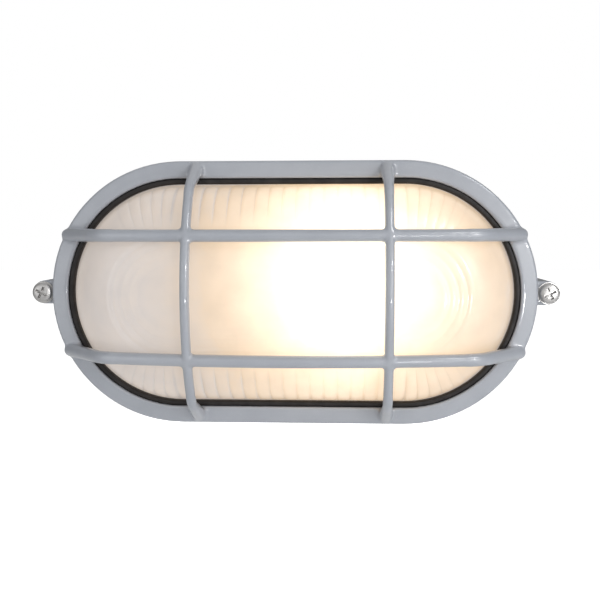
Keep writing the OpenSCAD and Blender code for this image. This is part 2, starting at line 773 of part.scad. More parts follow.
// Lamp: globe, neck and screw cap in one sealed piece
module bulb() {
    neck_deg = 125;
    cap_top = lamp_len - cap_len - contact_h;
    globe_end = globe_r * [sin(neck_deg), 1 - cos(neck_deg)];
    neck_end = [cap_r + 0.2, cap_top];
    slope = cos(neck_deg) / sin(neck_deg);
    bend_at = globe_end.y + 0.45 * (neck_end.y - globe_end.y);
    neck_bend = [globe_end.x + slope * (bend_at - globe_end.y), bend_at];
    outline = concat(
        arc([0, globe_r], globe_r, -90, neck_deg - 90, 18),
        curve(globe_end, neck_bend, neck_end, 8),
        [[cap_r, cap_top], [cap_r, lamp_len - contact_h - 1], [cap_r - 2, lamp_len - contact_h],
            [5.5, lamp_len - 1], [4.5, lamp_len], [0, lamp_len]]);
    color("#fff2d8") stand_up() on_lamp_axis(lamp_tip_x)
        rotate([180, 0, 0]) rotate_extrude() polygon(outline);
}

// Terminal block with its brass tubes and screws, held down by an ear at each side
block_x = half_spacing + floor_r - block_gap - block_len;
block_w = 3 * pole_pitch;
block_base_h = 4.5;
block_ear_h = 3;
block_ear_r = 3.4;
block_h = 13;
tube_rise = 6.5;
tube_z = floor_z + tube_rise;
tube_r = 2.1;
pole_screw_r = 1.4;
pole_screw_xs = [block_x + 0.27 * block_len, block_x + 0.73 * block_len];

module pole_places() {
    for (i = [-1:1]) translate([block_x, block_y + i * pole_pitch, tube_z]) children();
}

module pole_screw_places() {
    for (i = [-1:1], x = pole_screw_xs) translate([x, block_y + i * pole_pitch, tube_z]) children();
}

module block_screw_places() {
    for (side = [-1, 1])
        translate([block_x + block_len / 2, block_y + side * (block_w / 2 + block_ear_r), 0]) children();
}

module terminal_block() {
    barrel_r = tube_r + 1.3;
    tower_r = pole_screw_r + 1.4;
    ear_w = 2 * block_ear_r;
    tongue = block_w + ear_w;
    color("#e9e6da") stand_up() difference() {
        union() {
            translate([block_x, block_y - block_w / 2, floor_z]) cube([block_len, block_w, block_base_h]);
            translate([block_x + block_len / 2 - block_ear_r, block_y - tongue / 2, floor_z])
                cube([ear_w, tongue, block_ear_h]);
            block_screw_places() translate([0, 0, floor_z]) cylinder(r = block_ear_r, h = block_ear_h);
            pole_places() along_length() cylinder(r = barrel_r, h = block_len);
            pole_screw_places() cylinder(r = tower_r, h = floor_z + block_h - tube_z);
        }
        pole_places() translate([-cut, 0, 0]) along_length()
            cylinder(r = tube_r + thread_gap, h = block_len + 2 * cut);
        pole_screw_places() cylinder(r = pole_screw_r + thread_gap, h = block_h);
        block_screw_places() cylinder(r = small_screw_r + thread_gap, h = block_h);
    }
}

module terminal_tubes() {
    color("#c8b26a") stand_up() difference() {
        pole_places() along_length() cylinder(r = tube_r, h = block_len);
        pole_places() translate([-cut, 0, 0]) along_length()
            cylinder(r = wire_r + touch, h = block_len + 2 * cut);
        pole_screw_places() cylinder(r = pole_screw_r + thread_gap, h = block_h);
    }
}

module terminal_screws() {
    slot_w = 0.7;
    slot_h = 1;
    sunk = 1.5;
    bottom = wire_r + thread_gap;
    top = floor_z + block_h - tube_z - sunk;
    color("#c9ccd0") stand_up() pole_screw_places() difference() {
        translate([0, 0, bottom]) cylinder(r = pole_screw_r, h = top - bottom);
        translate([-pole_screw_r, -slot_w / 2, top - slot_h]) cube([2 * pole_screw_r, slot_w, 2 * slot_h]);
    }
}

module block_screws() {
    color("#c9ccd0") stand_up() block_screw_places()
        translate([0, 0, floor_z + block_ear_h]) small_screw();
}

// Earth terminal: a ring lug with a barrel for its wire, screwed to a boss
lug_t = 0.8;
lug_ring_r = 3.8;
lug_barrel_r = 1.9;
lug_barrel_len = 5;
lug_barrel_at = 4.6;

module earth_screw() {
    color("#c9b25c") stand_up() translate([earth.x, earth.y, boss_top + lug_t]) small_screw();
}

module earth_lug() {
    hole_r = small_screw_r + touch;
    color("#c9b25c") stand_up() translate([earth.x, earth.y, boss_top]) difference() {
        union() {
            cylinder(r = lug_ring_r, h = lug_t);
            translate([-lug_barrel_r, 0, 0]) cube([2 * lug_barrel_r, lug_barrel_at + cut, lug_t]);
            lug_barrel_place() cylinder(r = lug_barrel_r, h = lug_barrel_len);
        }
        translate([0, 0, -cut]) cylinder(r = hole_r, h = lug_t + 2 * cut);
        lug_barrel_place() translate([0, 0, -cut]) cylinder(r = wire_r + touch, h = lug_barrel_len + 2 * cut);
    }
}

// Lays a shape's z axis along the lug's barrel, from its inner end
module lug_barrel_place() {
    translate([0, lug_barrel_at, lug_barrel_r]) rotate([-90, 0, 0]) children();
}

// Grommet: rubber, buttoned into the hole in the floor
module cable_grommet() {
    lip_r = entry_r + entry_lip;
    lip_h = 1.6;
    groove_r = entry_r - thread_gap;
    nose_h = 3;
    nose_t = 1;
    shoulder_z = floor_z + lip_h;
    nose_z = shoulder_z + nose_h;
    color("#232226") stand_up() translate(entry) rotate_extrude() polygon([
        [cable_r, thread_gap], [lip_r, thread_gap], [lip_r, back_recess],
        [groove_r, back_recess], [groove_r, floor_z], [lip_r, floor_z], [lip_r, shoulder_z],
        [entry_r, shoulder_z], [cable_r + nose_t, nose_z], [cable_r, nose_z]]);
}

// Inner wiring, from the terminal block under the reflector to the holder and the earth lug
lane_y = 21;
lane_gap = 1.2;
lane_z = floor_z + lane_gap + wire_r;
lane_bend = 6;
wire_start_x = block_x + 0.55 * block_len;
wire_out_x = block_x - lane_bend;
lane_from = wire_out_x - 2 * lane_bend;
lane_to = terminal_x + 2.5 * lane_bend;
riser_top = lamp_z + terminal_w / 14;
lug_z = boss_top + lug_barrel_r;
lug_mouth_y = earth.y + lug_barrel_at + lug_barrel_len;

function lamp_wire_route(pole_y, side) = [
    [wire_start_x, pole_y, tube_z],
    [block_x, pole_y, tube_z],
    [wire_out_x, pole_y + 0.2 * lane_bend * side, tube_z - wire_r],
    [wire_out_x - lane_bend, pole_y + 1.5 * lane_bend * side, lane_z],
    [lane_from - lane_bend, lane_y * side, lane_z],
    [(2 * lane_from + lane_to) / 3, lane_y * side, lane_z],
    [(lane_from + 2 * lane_to) / 3, lane_y * side, lane_z],
    [lane_to, lane_y * side, lane_z],
    [terminal_x + lane_bend / 2, (lane_y + terminal_y) / 2 * side, lane_z + 0.6 * lane_bend],
    [terminal_x, terminal_y * side, 0.4 * lamp_z],
    [terminal_x, terminal_y * side, 0.7 * lamp_z],
    [terminal_x, terminal_y * side, riser_top - terminal_w],
    [terminal_x, terminal_y * side, riser_top]];

earth_pole_y = block_y - pole_pitch;
earth_route = [
    [wire_start_x, earth_pole_y, tube_z],
    [block_x, earth_pole_y, tube_z],
    [(block_x + earth.x) / 2, earth_pole_y - wire_r, tube_z],
    [earth.x, (2 * earth_pole_y + lug_mouth_y) / 3, tube_z - wire_r],
    [earth.x, lug_mouth_y + wire_r, lug_z],
    [earth.x, lug_mouth_y - 0.8 * lug_barrel_len, lug_z]];

module live_wire() {
    color("#8a5a3a") stand_up() wire(lamp_wire_route(block_y + pole_pitch, 1), [0, 1, 0]);
}

module neutral_wire() {
    color("#4a6fa5") stand_up() wire(lamp_wire_route(block_y, -1), [0, 1, 0]);
}

module earth_wire() {
    color("#7fa04a") stand_up() wire(earth_route, [0, 0, 1]);
}

base_housing();
guard_frame();
glass_lens();
glass_gasket();
screw_left();
screw_right();
washer_left();
washer_right();
reflector();
reflector_screws();
holder_bracket();
bracket_screws();
holder_body();
holder_sleeve();
holder_contact();
holder_terminals();
holder_clamp_screws();
holder_screws();
bulb();
terminal_block();
terminal_tubes();
terminal_screws();
block_screws();
earth_screw();
earth_lug();
cable_grommet();
live_wire();
neutral_wire();
earth_wire();
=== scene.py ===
"""Dressed scene of an oval bulkhead light: a cast guard over lit, ribbed glass, seen from the front.

All lengths are in metres in the part's own frame: +X along the length, +Z up, and the front faces -Y.
Chosen values are named in capitals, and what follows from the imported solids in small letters.
"""
import json
import math

import bmesh
import bpy
import numpy as np
from mathutils import Matrix, Vector


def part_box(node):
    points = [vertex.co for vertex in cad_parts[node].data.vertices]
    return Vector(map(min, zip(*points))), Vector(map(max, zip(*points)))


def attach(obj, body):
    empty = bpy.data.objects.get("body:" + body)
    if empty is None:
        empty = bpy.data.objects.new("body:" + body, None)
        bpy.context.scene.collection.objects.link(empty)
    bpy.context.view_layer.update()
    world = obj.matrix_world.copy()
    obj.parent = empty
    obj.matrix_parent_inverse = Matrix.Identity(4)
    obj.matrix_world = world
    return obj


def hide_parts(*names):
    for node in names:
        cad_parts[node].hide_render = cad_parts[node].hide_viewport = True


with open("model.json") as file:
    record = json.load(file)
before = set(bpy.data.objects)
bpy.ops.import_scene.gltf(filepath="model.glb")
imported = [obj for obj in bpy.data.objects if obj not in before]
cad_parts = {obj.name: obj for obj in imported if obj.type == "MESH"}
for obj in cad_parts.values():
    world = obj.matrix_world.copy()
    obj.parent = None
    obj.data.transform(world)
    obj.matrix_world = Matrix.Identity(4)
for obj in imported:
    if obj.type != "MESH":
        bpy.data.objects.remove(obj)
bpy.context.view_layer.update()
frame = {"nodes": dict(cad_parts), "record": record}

MM = 0.001
FRONT = (0, -1, 0)
nodes = frame["nodes"]
scene = bpy.context.scene


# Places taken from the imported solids

def node_box(name):
    """Lowest corner, highest corner and size of a CAD node."""
    low, high = (np.array(corner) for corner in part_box(name))
    return low, high, high - low


glass_low, glass_high, glass_size = node_box("glass_lens")
bulb_low, bulb_high, bulb_size = node_box("bulb")

# Stadium outline of the glass's flange
flange_r = glass_size[2] / 2
half_spacing = glass_size[0] / 2 - flange_r

# Lamp: its globe's centre and the plane where the glass goes into the cap
CONTACT_H = 3 * MM
CAP_LEN = 25 * MM
THREAD_PITCH = 3.6 * MM
globe_r = bulb_size[2] / 2
lamp_centre = np.array([bulb_high[0] - globe_r, (bulb_low[1] + bulb_high[1]) / 2, 0.0])
cap_front_x = bulb_low[0] + CONTACT_H + CAP_LEN


# Node helpers

# Ranges of a noise's values: nearly all of them, and the middle ones, which leave clear patches
NOISE_SPREAD = (0.3, 0.7)
CLOUD_SPREAD = (0.35, 0.65)


class Nodes:
    """Short form for building a material's or a world's node tree."""

    def __init__(self, tree):
        self.tree = tree

    def feed(self, node, inputs):
        """Links each socket to the node's input, and sets any other value on the input itself."""
        for key, value in inputs.items():
            if isinstance(value, bpy.types.NodeSocket):
                self.tree.links.new(value, node.inputs[key])
            else:
                node.inputs[key].default_value = value
        return node

    def add(self, kind, inputs=None, **settings):
        node = self.tree.nodes.new(kind)
        for key, value in settings.items():
            setattr(node, key, value)
        return self.feed(node, inputs or {})

    def math(self, operation, a, b=0.0):
        return self.add("ShaderNodeMath", {0: a, 1: b}, operation=operation).outputs[0]

    def vector(self, operation, a, b=(0, 0, 0)):
        node = self.add("ShaderNodeVectorMath", {0: a, 1: b}, operation=operation)
        return node.outputs["Vector"]

    def dot(self, a, b):
        node = self.add("ShaderNodeVectorMath", {0: a, 1: b}, operation="DOT_PRODUCT")
        return node.outputs["Value"]

    def span(self, value, from_min, from_max, to_min, to_max):
        """Maps a value from one range to another, held at both ends."""
        return self.add("ShaderNodeMapRange", {
            "Value": value, "From Min": from_min, "From Max": from_max,
            "To Min": to_min, "To Max": to_max}).outputs["Result"]

    def place(self):
        """Position in the object's own coordinates, which are the part's frame at rest."""
        return self.add("ShaderNodeTexCoord").outputs["Object"]

    def noise(self, size, detail=4.0, stretch=None):
        """Noise whose lumps have the given size in metres."""
        place = self.place()
        if stretch is not None:
            place = self.add("ShaderNodeMapping", {"Vector": place, "Scale": stretch}).outputs["Vector"]
        return self.add("ShaderNodeTexNoise", {
            "Vector": place, "Scale": 1 / size, "Detail": detail}).outputs["Fac"]

    def varied(self, size, low, high, detail=4.0, spread=NOISE_SPREAD):
        """Value that wanders between low and high in lumps of the given size."""
        return self.span(self.noise(size, detail), *spread, low, high)

    def cloud(self, size, detail):
        """Patches of 0 and 1 with soft edges."""
        return self.varied(size, 0, 1, detail, CLOUD_SPREAD)

    def blend(self, factor, a, b):
        return self.add("ShaderNodeMix", {"Factor": factor, "A": a, "B": b},
                        data_type="RGBA").outputs["Result"]

    def bump(self, height, distance, strength, normal=None):
        inputs = {"Height": height, "Distance": distance, "Strength": strength}
        if normal is not None:
            inputs["Normal"] = normal
        return self.add("ShaderNodeBump", inputs).outputs["Normal"]


def rgb(red, green, blue):
    return (red, green, blue, 1.0)


def new_material(name):
    material = bpy.data.materials.new(name)
    material.use_nodes = True
    shader = material.node_tree.nodes["Principled BSDF"]
    return material, Nodes(material.node_tree), shader


# Materials

# Glow of the lamp through the glass, painted light in the glass's emission. What comes straight
# from the lamp is GLOW_POWER over the distance squared. LEAST_AHEAD of it still leaves sideways,
# and GLOW_FACING is the power of the cosine at which it meets the glass. What the housing throws
# back is even on the front, and FLANK_GAIN times as strong on the flank; FLANK_SPAN holds the
# cosines of the turn between them.
GLOW_RISE = 6.5 * MM
GLOW_POWER = 2800 * MM ** 2
GLOW_FACING = 0.25
LEAST_AHEAD = 0.02
BOUNCED = 0.24
FLANK_GAIN = 1.5
FLANK_SPAN = (0.3, 1)
glow_centre = tuple(lamp_centre + (0, 0, GLOW_RISE))

# Colours of faint, middling and strong glow, and the strengths over which they change
GLOW_FAINT = rgb(1.0, 0.92, 0.87)
GLOW_WARM = rgb(1.0, 0.72, 0.43)
GLOW_HOT = rgb(1.0, 0.89, 0.68)
WARM_SPAN = (0.3, 0.55)
HOT_SPAN = (0.6, 1.9)

# Painted shade lines in the valleys between ribs: the mesh attribute that holds them, the glow
# that they let pass, how much of them is left in strong glow, and how they darken the frosting
CREASE = "crease"
CREASE_PASS = 0.84
CREASE_DROWNED = 0.3
DROWN_SPAN = (0.6, 0.9)
CREASE_SHADE_TINT = 0.2
CREASE_SHADE_COLOUR = rgb(0.2, 0.2, 0.2)

LAMP_STRENGTH = 0.7
LAMP_GLOW = rgb(1.0, 0.78, 0.5)


def powder_coat():
    """Blue-grey semi-gloss powder coat: orange-peel skin, faint clouding and uneven gloss."""
    material, n, shader = new_material("powder_coat")
    body = n.blend(n.cloud(14 * MM, 3), rgb(0.325, 0.345, 0.385), rgb(0.35, 0.37, 0.41))
    speck = n.varied(0.5 * MM, 0, 0.25, detail=2, spread=(0.62, 0.75))
    peel = n.bump(n.noise(1.6 * MM, 2), 0.04 * MM, 0.2)
    n.feed(shader, {
        "Base Color": n.blend(speck, body, rgb(0.5, 0.52, 0.55)),
        "Roughness": n.varied(4 * MM, 0.3, 0.42, detail=5),
        "Normal": n.bump(n.noise(0.4 * MM, 2), 0.01 * MM, 0.2, peel),
        "Coat Weight": 0.8,
        "Coat Roughness": 0.05,
    })
    return material


def lit_glass():
    """Frosted pressed glass, lit warm by the lamp behind it, with that glow painted into its emission.

    The glow falls off with the square of the distance from the lamp's centre, and the frosting sends
    most of it straight on, so it is weaker where the light leaves sideways through the flanks.
    """
    material, n, shader = new_material("lit_glass")
    out = n.vector("SUBTRACT", n.place(), glow_centre)
    toward = n.vector("NORMALIZE", out)
    normal = n.add("ShaderNodeNewGeometry").outputs["Normal"]
    ahead = n.math("MAXIMUM", n.dot(toward, FRONT), LEAST_AHEAD)
    facing = n.math("POWER", n.math("ABSOLUTE", n.dot(toward, normal)), GLOW_FACING)
    falloff = n.math("DIVIDE", GLOW_POWER, n.dot(out, out))
    direct = n.math("MULTIPLY", n.math("MULTIPLY", ahead, falloff), facing)
    bounced = n.span(n.dot(normal, FRONT), *FLANK_SPAN, BOUNCED * FLANK_GAIN, BOUNCED)
    lit = n.math("ADD", direct, bounced)

    # Painted shade: dark lines in the rib valleys, at the flank's foot and between the rings dim the
    # glow and darken the frosting
    crease = n.add("ShaderNodeAttribute", attribute_name=CREASE).outputs["Fac"]
    line = n.math("MULTIPLY", crease, n.span(lit, *DROWN_SPAN, 1, CREASE_DROWNED))
    mottle = n.varied(9 * MM, 0.95, 1.05, detail=3)
    passed = n.math("MULTIPLY", mottle, n.span(line, 0, 1, 1, CREASE_PASS))
    strength = n.math("MULTIPLY", lit, passed)
    warm = n.blend(n.span(strength, *WARM_SPAN, 0, 1), GLOW_FAINT, GLOW_WARM)
    frosted = n.blend(n.cloud(20 * MM, 3), rgb(0.31, 0.288, 0.28), rgb(0.35, 0.328, 0.32))
    n.feed(shader, {
        "Emission Color": n.blend(n.span(strength, *HOT_SPAN, 0, 1), warm, GLOW_HOT),
        "Emission Strength": strength,
        "Base Color": n.blend(n.math("MULTIPLY", line, CREASE_SHADE_TINT), frosted, CREASE_SHADE_COLOUR),
        "Roughness": n.varied(6 * MM, 0.3, 0.42),
        "Normal": n.bump(n.noise(1.1 * MM, 3), 0.04 * MM, 0.3),
        "Coat Weight": 0.35,
        "Coat Roughness": 0.12,
    })
    return material


def rubber():
    """Moulded black rubber, a little greyer where it has been handled."""
    material, n, shader = new_material("rubber")
    bloom = n.varied(5 * MM, 0, 1, detail=5, spread=(0.4, 0.75))
    n.feed(shader, {
        "Base Color": n.blend(bloom, rgb(0.012, 0.01, 0.01), rgb(0.026, 0.022, 0.021)),
        "Roughness": n.varied(2 * MM, 0.42, 0.6),
        "Normal": n.bump(n.noise(0.5 * MM, 3), 0.03 * MM, 0.5),
        "Specular IOR Level": 0.3,
    })
    return material


def metal(name, dark, light, rough):
    """Plain or plated metal with a fine grain and dull patches."""
    material, n, shader = new_material(name)
    grain = n.noise(0.8 * MM, stretch=(1, 4, 1))
    n.feed(shader, {
        "Base Color": n.blend(n.noise(2.5 * MM, 5), dark, light),
        "Roughness": n.varied(1.2 * MM, *rough, detail=5),
        "Normal": n.bump(grain, 0.03 * MM, 0.35),
        "Metallic": 1.0,
    })
    return material


def smooth_solid(name, dark, light, rough, skin=1.5 * MM, coat=0.0):
    """Enamel, glaze or plastic: clouded colour, uneven gloss and a faintly wavy skin."""
    material, n, shader = new_material(name)
    n.feed(shader, {
        "Base Color": n.blend(n.cloud(8 * MM, 4), dark, light),
        "Roughness": n.varied(3 * MM, *rough),
        "Normal": n.bump(n.noise(skin, 2), 0.03 * MM, 0.3),
        "Coat Weight": coat,
        "Coat Roughness": 0.08,
    })
    return material


def sheath(name, dark, light):
    """Plastic round a wire."""
    return smooth_solid(name, dark, light, rough=(0.38, 0.5), skin=0.6 * MM)


def lamp_surface():
    """Opal globe that glows, and a plated screw cap with its rolled thread."""
    material, n, shader = new_material("lamp_surface")
    along = n.add("ShaderNodeSeparateXYZ", {"Vector": n.place()}).outputs["X"]
    glassy = n.math("GREATER_THAN", along, cap_front_x)
    cap = n.math("SUBTRACT", 1.0, glassy)
    plate = n.blend(n.noise(3 * MM, 5), rgb(0.55, 0.52, 0.42), rgb(0.7, 0.67, 0.56))
    opal = n.blend(n.noise(12 * MM, 3), rgb(0.56, 0.54, 0.5), rgb(0.64, 0.62, 0.58))
    thread = n.math("SINE", n.math("MULTIPLY", along, 2 * math.pi / THREAD_PITCH))
    n.feed(shader, {
        "Base Color": n.blend(glassy, plate, opal),
        "Metallic": cap,
        "Roughness": n.varied(4 * MM, 0.22, 0.34),
        "Normal": n.bump(n.math("MULTIPLY", thread, cap), 0.5 * MM, 0.8),
        "Emission Color": LAMP_GLOW,
        "Emission Strength": n.math("MULTIPLY", glassy, LAMP_STRENGTH),
    })
    return material


paint = powder_coat()
glass = lit_glass()

SLOT_MATERIALS = {
    "cast_paint": paint,
    "pressed_glass": glass,
    "black_rubber": rubber(),
    "plated_steel": metal(
        "zinc_plate", rgb(0.42, 0.415, 0.41), rgb(0.64, 0.63, 0.62), rough=(0.3, 0.48)),
    "brass": metal("brass", rgb(0.6, 0.44, 0.17), rgb(0.76, 0.58, 0.27), rough=(0.22, 0.4)),
    "white_sheet": smooth_solid(
        "white_enamel", rgb(0.78, 0.78, 0.77), rgb(0.86, 0.86, 0.85), rough=(0.2, 0.32), coat=0.3),
    "porcelain": smooth_solid(
        "glazed_porcelain", rgb(0.8, 0.79, 0.75), rgb(0.88, 0.87, 0.83), rough=(0.12, 0.22), coat=0.5),
    "cream_plastic": smooth_solid(
        "cream_plastic", rgb(0.74, 0.7, 0.6), rgb(0.8, 0.77, 0.67), rough=(0.4, 0.55), skin=0.6 * MM),
    "brown_sheath": sheath("brown_sheath", rgb(0.18, 0.08, 0.035), rgb(0.24, 0.11, 0.05)),
    "blue_sheath": sheath("blue_sheath", rgb(0.045, 0.12, 0.34), rgb(0.06, 0.16, 0.42)),
    "green_sheath": sheath("green_sheath", rgb(0.16, 0.32, 0.05), rgb(0.24, 0.42, 0.08)),
    "lamp_glass": lamp_surface(),
}

for part in frame["record"]["subparts"]:
    slots = nodes[part["node"]].data.materials
    slots.clear()
    slots.append(SLOT_MATERIALS[part["material_slot"]])


# Mesh helpers

def new_piece(name, mesh, body, node, material):
    """A piece that rides on a body and stands for one CAD node."""
    piece = bpy.data.objects.new(name, mesh)
    scene.collection.objects.link(piece)
    mesh.materials.clear()
    mesh.materials.append(material)
    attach(piece, body)
    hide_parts(node)


def mesh_of(name, verts, faces):
    mesh = bpy.data.meshes.new(name)
    mesh.from_pydata(verts, [], faces)
    return mesh


def voxel_copy(node, voxel):
    """Even, closed mesh of a CAD node's surface."""
    source = bpy.data.objects.new("voxel_source", nodes[node].data.copy())
    scene.collection.objects.link(source)
    remesh = source.modifiers.new("remesh", "REMESH")
    remesh.mode = "VOXEL"
    remesh.voxel_size = voxel
    remesh.adaptivity = 0.0
    graph = bpy.context.evaluated_depsgraph_get()
    mesh = bpy.data.meshes.new_from_object(source.evaluated_get(graph))
    bpy.data.objects.remove(source)
    return mesh


# Guard: the cast ring and bars, with the fillets of a casting

GUARD_VOXEL = 0.67 * MM
FILLET_R = 1.1 * MM
CAST_EDGE_R = 0.6 * MM
ROUND_PASSES = 40
ROUND_STEP = 0.5
FAIR_PASSES = 8
FAIR_SHRINK = 0.5
FAIR_SWELL = 0.52


def round_creases(mesh, voxel, hollow_r, edge_r, box):
    """Fillets the hollow creases and rounds the sharp edges of an even mesh, as in a casting.

    A vertex moves along its normal while the surface there bends tighter than the wanted radius.
    Fairing passes, in pairs that shrink and swell by turns, then take out the grid's ripple.
    No vertex leaves the given box.
    """
    count = len(mesh.vertices)
    points = np.empty(count * 3)
    mesh.vertices.foreach_get("co", points)
    points = points.reshape(-1, 3)
    edges = np.empty(len(mesh.edges) * 2, dtype=np.int64)
    mesh.edges.foreach_get("vertices", edges)
    a, b = edges.reshape(-1, 2).T
    valence = np.bincount(np.concatenate([a, b]), minlength=count)[:, None]
    normals = np.empty(count * 3)
    # How far the neighbours' mean lies off a surface of the wanted radius
    hollow_limit = voxel ** 2 / (4 * hollow_r)
    edge_limit = voxel ** 2 / (4 * edge_r)

    def to_neighbours():
        """From each vertex to the mean of its neighbours."""
        around = [np.bincount(a, points[b, axis], count) + np.bincount(b, points[a, axis], count)
                  for axis in range(3)]
        return np.stack(around, 1) / valence - points

    for _ in range(ROUND_PASSES):
        mesh.vertices.foreach_set("co", points.ravel())
        mesh.update()
        mesh.vertex_normals.foreach_get("vector", normals)
        normal = normals.reshape(-1, 3)
        bend = (to_neighbours() * normal).sum(1)
        step = np.where(bend > hollow_limit, bend - hollow_limit, np.minimum(bend + edge_limit, 0))
        points += ROUND_STEP * step[:, None] * normal
    for _ in range(FAIR_PASSES):
        points += FAIR_SHRINK * to_neighbours()
        points -= FAIR_SWELL * to_neighbours()
    points = points.clip(*box)
    mesh.vertices.foreach_set("co", points.ravel())
    mesh.update()


guard_mesh = voxel_copy("guard_frame", GUARD_VOXEL)
round_creases(guard_mesh, GUARD_VOXEL, FILLET_R, CAST_EDGE_R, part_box("guard_frame"))
guard_mesh.shade_smooth()
new_piece("guard_cast", guard_mesh, "cover", "guard_frame", paint)


# Glass: flange, ribbed flank and ringed front, with a plain inside. Its sections are drawn as
# distance from the stadium's middle line and height from the wall.

FLANGE_W = 4 * MM
FLANGE_T = 4 * MM
FLANGE_ROUND = 0.8 * MM
GLASS_T = 3.8 * MM
FRONT_R = 26 * MM
FRONT_CROWN = 2.6 * MM
FLANK_BOW = 3.6 * MM
SHARP_ANGLE = math.radians(50)
WELD = 0.002 * MM

# Ribs along the straight flanks, and fanned out at both sides of each round end, where they die out.
# A RIB_POWER below 1 makes them round with narrow valleys. RIB_SHARES are the stations within a
# pitch, and PLAIN_STEPS is how many a pitch gets beyond the ribs.
RIB_PITCH = 5.25 * MM
RIB_H = 0.7 * MM
RIB_COUNT = 17
RIB_POWER = 0.6
FAN_PITCH = math.radians(7)
FAN_COUNT = 5
FAN_FADE = (FAN_COUNT + 2) * FAN_PITCH
RIB_SHARES = np.array([0, 0.06, 0.14, 0.26, 0.42, 0.58, 0.74, 0.86, 0.94])
PLAIN_STEPS = 4

# Scalloped rings round the front: lower along the straight sides, and lower towards the middle
RING_PITCH = 3.4 * MM
RING_COUNT = 4
SCALLOP = 0.35 * MM
SIDE_RINGS = 0.4
LEAST_RING = 0.35

# Crease lines of painted shade: width of a valley's line in pitches, share of the flank over which
# it dies out at the shoulder, and the strength of the lines at the flank's foot and between rings
CREASE_W = 0.09
SHOULDER_FADE = 0.25
FOOT_LOOP = 4
FOOT_SHADE_LINE = 0.9
RING_SHADE_LINE = 0.5

# Loops of the mesh over each stretch of the section
FLANGE_LOOPS = 5
FLANK_LOOPS = 25
LOOPS_PER_RING = 8
RING_LOOPS = LOOPS_PER_RING * RING_COUNT + 1
MIDDLE_LOOPS = 5
INNER_FLANK_LOOPS = 9

flange_z = -glass_high[1]
flange_top = flange_z + FLANGE_T
dome_top = -glass_low[1]
shoulder_z = dome_top - FRONT_CROWN
glass_r = flange_r - FLANGE_W
rings_in = FRONT_R - RING_COUNT * RING_PITCH


def rib_stations(first, pitch, count, end):
    """Places from zero to the end: close together in the valley beside each rib."""
    ribs = (first + pitch * (np.arange(count)[:, None] + RIB_SHARES)).ravel()
    after = np.arange(first + count * pitch, end, pitch / PLAIN_STEPS)
    return np.concatenate([[0.0] if first > 0 else [], ribs, after])


def rib_wave(distance, pitch, count):
    """Height, 0 to 1, of round ribs from zero distance on, and the narrow valleys beside them."""
    inside = (distance > 0) & (distance < count * pitch)
    wave = np.where(inside, np.abs(np.sin(np.pi * distance / pitch)) ** RIB_POWER, 0.0)
    share = (distance / pitch + 0.5) % 1 - 0.5
    valley = np.exp(-(share / CREASE_W) ** 2)
    ribbed = (distance > -pitch / 2) & (distance < (count + 0.5) * pitch)
    return wave, np.where(ribbed, valley, 0.0)


def stadium_samples():
    """Stations round the stadium.

    Gives each one's place on the middle line, the cosine and sine of its outward direction, its rib
    height, its valley, and how far it is round an end, from 0 on the straight to 1 at the tip.
    """
    length = 2 * half_spacing
    first = (length - RIB_COUNT * RIB_PITCH) / 2
    straight = rib_stations(first, RIB_PITCH, RIB_COUNT, length)
    quarter = rib_stations(0, FAN_PITCH, FAN_COUNT, math.pi / 2)
    turn = np.concatenate([quarter, [math.pi / 2], math.pi - quarter[:0:-1]])
    near = np.minimum(turn, math.pi - turn)
    side_rib, side_valley = rib_wave(straight - first, RIB_PITCH, RIB_COUNT)
    end_rib, end_valley = rib_wave(near, FAN_PITCH, FAN_COUNT)
    fade = 1 - near / FAN_FADE
    stretches = []
    for side in (1, -1):
        quarter_turn = side * math.pi / 2
        stretches.append((side * (half_spacing - straight), np.full(len(straight), quarter_turn),
                          side_rib, side_valley, np.zeros(len(straight))))
        stretches.append((np.full(len(turn), -side * half_spacing), quarter_turn + turn,
                          end_rib * fade, end_valley * fade, np.sin(turn)))
    middle, angle, rib, valley, at_end = (np.concatenate(values) for values in zip(*stretches))
    return middle, np.cos(angle), np.sin(angle), rib, valley, at_end


def bow(start, end, height, share):
    """Points at a share of the arcs from start to end that swell by each of the given heights."""
    start, end = np.array(start), np.array(end)
    chord = np.linalg.norm(end - start)
    along = (end - start) / chord
    out = np.array([along[1], -along[0]])
    radius = (chord ** 2 / 4 + height ** 2) / (2 * height)
    angle = np.arcsin(chord / (2 * radius)) * (2 * share - 1)
    centre = (start + end) / 2 + np.outer(height - radius, out)
    return centre + radius[:, None] * (np.outer(np.cos(angle), out) + np.outer(np.sin(angle), along))


